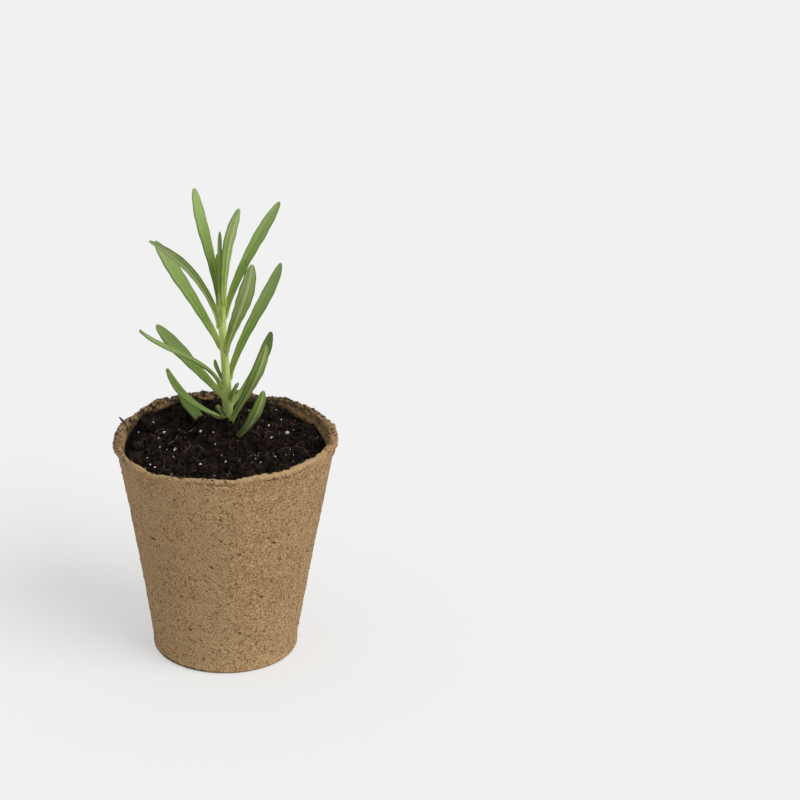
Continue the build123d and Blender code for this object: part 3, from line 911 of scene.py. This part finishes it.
def rim_crumbs(count):
    """Crumbs of compost on the rim: a ragged fringe along the back, fewer at the left and a few elsewhere.
    Most lie on its top, and the rest stick to the inner wall below it."""
    back = np.pi / 2 + 1.15 * np.clip(rng.normal(0, 0.6, count), -1, 1)
    angle = np.concatenate([back, rng.normal(np.pi, 0.3, count // 16), TURN * rng.random(count // 11)])
    clump = noise(rows_from(angle * RIM_REACH, 0, 0), 3.0, 41, 2)
    depth = rng.exponential(0.35 + 0.9 * np.clip(clump, 0, 1), len(angle))
    rim = rim_height(angle)
    edge = rim_edge(angle)
    on_top = depth < 0.7
    across = rng.uniform(-0.9, 0.9, len(angle))
    outer, inner = outside_radius(rim - edge, angle), inside_radius(rim - edge)
    height = np.where(on_top, rim - edge * (1 - np.sqrt(1 - across**2)), rim - np.minimum(depth, 4.5))
    radius = (outer + inner) / 2 + across * (outer - inner) / 2
    radius = np.where(on_top, radius, inside_radius(height) + 0.05)
    spots = round_axis(radius, angle, height)
    spots[:, 2] += np.where(on_top, wall_push(spots, height), 0)
    return spots


def wall_fibres(count, longest, low, high):
    """Fibres pressed into the outside of the wall: short straight paths over the tapered, lipped surface."""
    angle = TURN * rng.random((count, 1))
    height = rng.uniform(low, high, (count, 1))
    tilt = TURN * rng.random((count, 1))
    step = np.linspace(-0.5, 0.5, 5) * longest * rng.uniform(0.35, 1, (count, 1))
    height = height + step * np.sin(tilt)
    angle = angle + step * np.cos(tilt) / WALL_REACH
    radius = outside_radius(height, angle) + 0.05
    radius = radius + wall_push(round_axis(radius, angle, height), height)
    return round_axis(radius, angle, height)


def lip_fuzz(count):
    """Loose fibre ends that stand off the torn lip: short curved paths that leave the edge at all angles."""
    angle = TURN * rng.random((count, 1))
    down = rng.exponential(0.9, (count, 1))
    height = rim_height(angle) - np.minimum(down, 3)
    radius = outside_radius(height - 1.2, angle) - 0.5 * rng.random((count, 1))
    length = rng.uniform(0.3, 1.1, (count, 1))
    lean = rng.normal(0, 0.9, (count, 1))
    swing = rng.normal(0, 0.6, (count, 1))
    step = np.linspace(0, 1, 4) * length
    radius = radius + step * np.cos(lean) * 0.7
    height = height + step * np.sin(lean) * 0.6 - 0.15 * step**2
    return round_axis(radius, angle + step * swing / RIM_REACH, height)


def stem_centre(height):
    """Centre of the stem at a height above the crown: upright, swaying to the left in half a cosine wave."""
    sway = STEM_SWAY * (1 - np.cos(np.pi * np.clip(height / STEM_TOP, 0, 1))) / 2
    return np.stack([STEM_BASE[0] - sway, STEM_BASE[1] + 0 * sway, CROWN_HEIGHT + height], -1)


def stem_radius(height):
    """Stem radius, a straight taper from base to tip."""
    share = np.clip(height / STEM_TOP, 0, 1)
    return (STEM_BASE_DIAMETER + (STEM_TIP_DIAMETER - STEM_BASE_DIAMETER) * share) / 2


def stem_skin():
    """Square stem: rings with four soft corners, carried up its centre. Below each leaf a ridge, the leaf's
    own base, grows out towards it."""
    height = np.linspace(-STEM_BURIED, STEM_TOP + 1.5, 110)
    angle = TURN * np.arange(STEM_RING) / STEM_RING
    ring = round_axis(1, angle, 0 * angle)
    radius = stem_radius(height)[:, None] * (1 + 0.09 * np.cos(4 * angle) + 0.02 * np.cos(8 * angle))
    for leaf in LEAVES:
        below = np.clip((height - leaf.height) / RIDGE_RUN + 1, 0, 1) ** 1.4
        below = below * (1 - smooth(height, leaf.height, leaf.height + 1.2))
        facing = np.exp((np.cos(angle - np.radians(leaf.azimuth)) - 1) / 0.14)
        radius = radius + RIDGE_SHARE * leaf.width * below[:, None] * facing
    rings = stem_centre(height)[:, None] + radius[..., None] * ring
    rings = rings + rough(rings * (1, 1, 0.3), (0.07, 1.2, 21, 2))[..., None] * ring
    return capped_tube(rings)


def leaf_spine(leaf, arc):
    """Midrib of a leaf at lengths along it, and the directions across the blade and out of its upper side. It
    starts along the stem and bends through three leans in an upright plane, as in the CAD model."""
    fine = np.linspace(-LEAF_SHEATH, leaf.length, 400)
    s = np.clip(fine / leaf.length, 0, 1)
    lean = leaf.base_lean * (1 - s) * (1 - 2 * s) + leaf.middle_lean * 4 * s * (1 - s)
    lean = lean + leaf.tip_lean * s * (2 * s - 1)
    lean = np.radians(lean * smooth(fine, -LEAF_SHEATH, 0.5))
    step = np.diff(fine, prepend=fine[0])
    runs = np.cumsum([np.sin(lean) * step, np.cos(lean) * step], axis=1)
    out, up = (np.interp(arc, fine, run - np.interp(0, fine, run))[:, None] for run in runs)
    outward = turned(leaf.azimuth)
    upward = np.array([0, 0, 1.0])
    centre = stem_centre(np.array(leaf.height))
    seat = centre + outward * (stem_radius(leaf.height) - LEAF_SEAT)
    spine = seat + out * outward + up * upward
    down = np.minimum(arc, 0)
    drift = (stem_centre(leaf.height + down) - centre) * (1, 1, 0)
    spine = spine + drift - SHEATH_SINK * smooth(-down, 0, LEAF_SHEATH)[:, None] * outward
    lean = np.interp(arc, fine, lean)[:, None]
    upper = upward * np.sin(lean) - outward * np.cos(lean)
    across = np.cross(upper, outward * np.sin(lean) + upward * np.cos(lean))
    twist = np.radians(leaf.twist) * np.sin(np.pi / 2 * np.clip(arc / leaf.length, 0, 1))[:, None]
    cosine, sine = np.cos(twist), np.sin(twist)
    return spine, across * cosine + upper * sine, upper * cosine - across * sine


def leaf_skin(leaf, order):
    """Closed blade of one leaf along its midrib: a shallow channel with edges rolled under, a raised midrib
    below, and a width that swells to two thirds of the length and closes in a round tip."""
    share = 1 - (1 - np.linspace(0, 1, LEAF_ROWS)) ** 1.7
    arc = -LEAF_SHEATH + (leaf.length + LEAF_SHEATH) * share
    spine, across, upper = leaf_spine(leaf, arc)
    s = np.clip(arc / leaf.length, 0, 1)
    swell = LEAF_BASE_SHARE + (1 - LEAF_BASE_SHARE) * np.clip(s / LEAF_WIDEST, 0, 1)
    tip = np.sqrt(1 - np.clip((s - LEAF_WIDEST) / LEAF_TIP_SHARE, 0, 1) ** 2.4)
    half = leaf.width / 2 * swell * tip * (0.12 + 0.88 * smooth(arc, -LEAF_SHEATH, 1.5))
    half = half[:, None] * (1 + 0.03 * np.sin(arc[:, None] * 0.9 + order))
    thick = LEAF_THICKNESS * min(1, leaf.width / 4)
    thick = thick * (1.25 - 0.45 * s + bell(arc - 0.5, 2.6))[:, None]
    thick = thick * np.minimum(1, half / (0.12 * leaf.width))
    angle = TURN * np.arange(LEAF_RING) / LEAF_RING
    x = np.cos(angle)
    off = np.abs(x)
    channel = 0.24 * half * (1 - off**1.7) + 0.2 * half * off**7 + 0.07 * thick * bell(x, 0.12)
    body = 0.52 + 0.55 * bell(x, 0.19) + 0.4 * bell(off - 0.8, 0.17)
    below = thick * body * (1 - x**2) ** 0.35
    level = -channel - np.where(np.sin(angle) < 0, below, 0)
    rings = spine[:, None] + (x * half)[..., None] * across[:, None] + level[..., None] * upper[:, None]
    rings = rings + rough(rings, (0.07, 6, 30 + order, 2))[..., None] * upper[:, None]
    points, faces = capped_tube(rings)
    ends = [(0, 0, -1), (1, 0, -1)]
    veins = rows_from(x * half / 0.35, arc[:, None] / 9, 7.3 * order)
    # Darkening low on the stem, for old leaves and painted shade; paling towards the tip on full leaves above
    # the compost; and dirt where a leaf comes out of it
    age_and_shade = np.clip((20 - leaf.height) / 22, 0, 1)
    tip_paling = smooth(leaf.height, -4, 10) * min(1, leaf.width / 5)
    dirt = 1 - smooth(points[:, 2] - crumbly_height(points[:, 0], points[:, 1]), 0.3, 2.2)
    marks = {
        "blade": np.concatenate([rows_from(s[:, None], x, np.sin(angle)), ends]),
        "vein_place": np.concatenate([veins, veins[[0, -1]]]),
        "state": rows_from(age_and_shade, tip_paling, dirt),
    }
    return points, faces, marks


# Materials
peat_fibre = peat_fibre_material()
compost_soil = compost_material()
perlite = perlite_material()
leaf_green = leaf_material()
stem_green = stem_material()
straw = fibre_material("straw_fibre", "#D9C39A", "#B4946A", 1.5)
fine_root = fibre_material("fine_root", "#9C7F5C", "#5E4230", 2.0)
dark_bast = fibre_material("dark_bast_fibre", "#5A4130", "#2F2017", 1.0)
dry_peat = fibre_material("dry_peat_crumb", "#4E3A2A", "#1E140D", 1.2)
root_fibre = fibre_material("young_root", "#D8C7A0", "#A98F66", 3.0)

# Pot shell with the fibres and crumbs that it carries
points, faces, marks = pot_surface()
make_piece("pot", points, faces, "pot", "peat_fibre", peat_fibre, ["pot_shell"], marks)
fibres = wall_fibres(WALL_STRAWS, 3.5, 4.0, 79.0)
fibre_piece("wall_straws", fibres, 0.05, 0.11, "pot", "peat_fibre", straw)
fibres = wall_fibres(WALL_BARK, 1.2, 3.0, 80.0)
fibre_piece("wall_bark", fibres, 0.07, 0.19, "pot", "peat_fibre", dark_bast)
fibre_piece("lip_fuzz", lip_fuzz(LIP_FUZZ), 0.025, 0.05, "pot", "peat_fibre", straw)
spots = rim_crumbs(RIM_CRUMBS)
sizes = 0.22 + 0.75 * rng.random(len(spots)) ** 3
make_piece("rim_crumbs", *lumps(spots, sizes), "pot", "compost", dry_peat, flat=True)
twig = fine_tubes(hung_twig(*RIM_TWIG)[None], np.array([TWIG_RADIUS]), 6)
make_piece("rim_twig", *twig, "pot", "compost", dry_peat)

# Compost
points, faces, marks = compost_plug()
make_piece("compost_plug", points, faces, "root_ball", "compost", compost_soil, ["compost"], marks)
x, y = scatter(LOOSE_CRUMBS, 34.5)
sizes = 0.4 + 1.9 * rng.random(len(x)) ** 3
spots = rows_from(x, y, crumbly_height(x, y) + 0.15 * sizes)
skins = [leaf_skin(leaf, order) for order, leaf in enumerate(LEAVES)]
bedded = np.concatenate([skin[0] for skin in skins])
bedded = bedded[np.abs(bedded[:, 2] - crumbly_height(bedded[:, 0], bedded[:, 1])) < 0.45]
bedded = bedded[rng.permutation(len(bedded))[:BEDDING_CRUMBS]]
spots = np.concatenate([spots, bedded + rng.normal(0, 0.5, bedded.shape)])
sizes = np.append(sizes, rng.uniform(0.6, 1.7, len(bedded)))
make_piece("compost_crumbs", *lumps(spots, sizes), "root_ball", "compost", compost_soil, flat=True)
fibres = lying_fibres(SOIL_STRAWS, 9.0, 1.0)
fibre_piece("compost_straws", fibres, 0.03, 0.06, "root_ball", "compost", fine_root)
fibres = lying_fibres(SOIL_BARK, 7.0, 1.2)
fibre_piece("compost_bark", fibres, 0.08, 0.2, "root_ball", "compost", dark_bast)
long_straw = fine_tubes(laid_straw(*LONG_STRAW)[None], np.array([LONG_STRAW_RADIUS]), 5)
make_piece("long_straw", *long_straw, "root_ball", "compost", fine_root)
x, y, sizes = perlite_spots()
spots = rows_from(x, y, crumbly_height(x, y) + 0.1 * sizes)
grains = lumps(spots, sizes, 0.5)
make_piece("perlite", *grains, "root_ball", "perlite", perlite, ["perlite_grains"], flat=True)

# Seedling
make_piece("stem_skin", *stem_skin(), "root_ball", "stem", stem_green, ["stem"])
for leaf, (points, faces, marks) in zip(LEAVES, skins):
    make_piece(f"blade_{leaf.node}", points, faces, "root_ball", "leaf", leaf_green, [leaf.node], marks)
for node in ("main_root", "side_roots"):
    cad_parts[node].data.materials.clear()
    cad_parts[node].data.materials.append(root_fibre)

# Ground, light and camera
ground = bpy.data.meshes.new("ground")
reach = GROUND_REACH * MM
corners = [(x * reach, y * reach, 0) for x, y in ((-1, -1), (1, -1), (1, 1), (-1, 1))]
ground.from_pydata(corners, [], [(0, 1, 2, 3)])
ground.materials.append(floor_material())
ground = put("ground", ground)

sun = bpy.data.lights.new("soft_key", "SUN")
sun.energy = SUN_ENERGY
sun.angle = np.radians(SUN_ANGLE)
put("soft_key", sun).rotation_euler = Vector(SUN_HEADING).to_track_quat("-Z", "Y").to_euler()

world = bpy.data.worlds.new("pale_room")
scene.world = world
world.use_nodes = True
tree = world.node_tree
tree.nodes.clear()
ray = add(tree, "LightPath")
seen = maths("MAXIMUM", ray["Is Camera Ray"], ray["Is Glossy Ray"])
room = add(tree, "Background", {"Color": linear("#FFFFFF"), "Strength": ROOM_STRENGTH})[0]
backdrop = add(tree, "Background", {"Color": linear("#EFEFEF"), "Strength": 1.0})[0]
add(tree, "OutputWorld", {"Surface": add(tree, "MixShader", {0: seen, 1: room, 2: backdrop})[0]})

camera = bpy.data.cameras.new("camera")
camera.lens = CAMERA_LENS
camera.sensor_width = SENSOR_WIDTH
camera.clip_start, camera.clip_end = 0.05, 50
camera = put("camera", camera)
camera.matrix_world = Matrix.Translation(Vector(CAMERA_PLACE) * MM)
for angle, axis in ((-CAMERA_YAW, "Z"), (90 - CAMERA_PITCH, "X"), (CAMERA_ROLL, "Z")):
    camera.matrix_world = camera.matrix_world @ Matrix.Rotation(np.radians(angle), 4, axis)
scene.camera = camera
scene.view_settings.view_transform = "Standard"
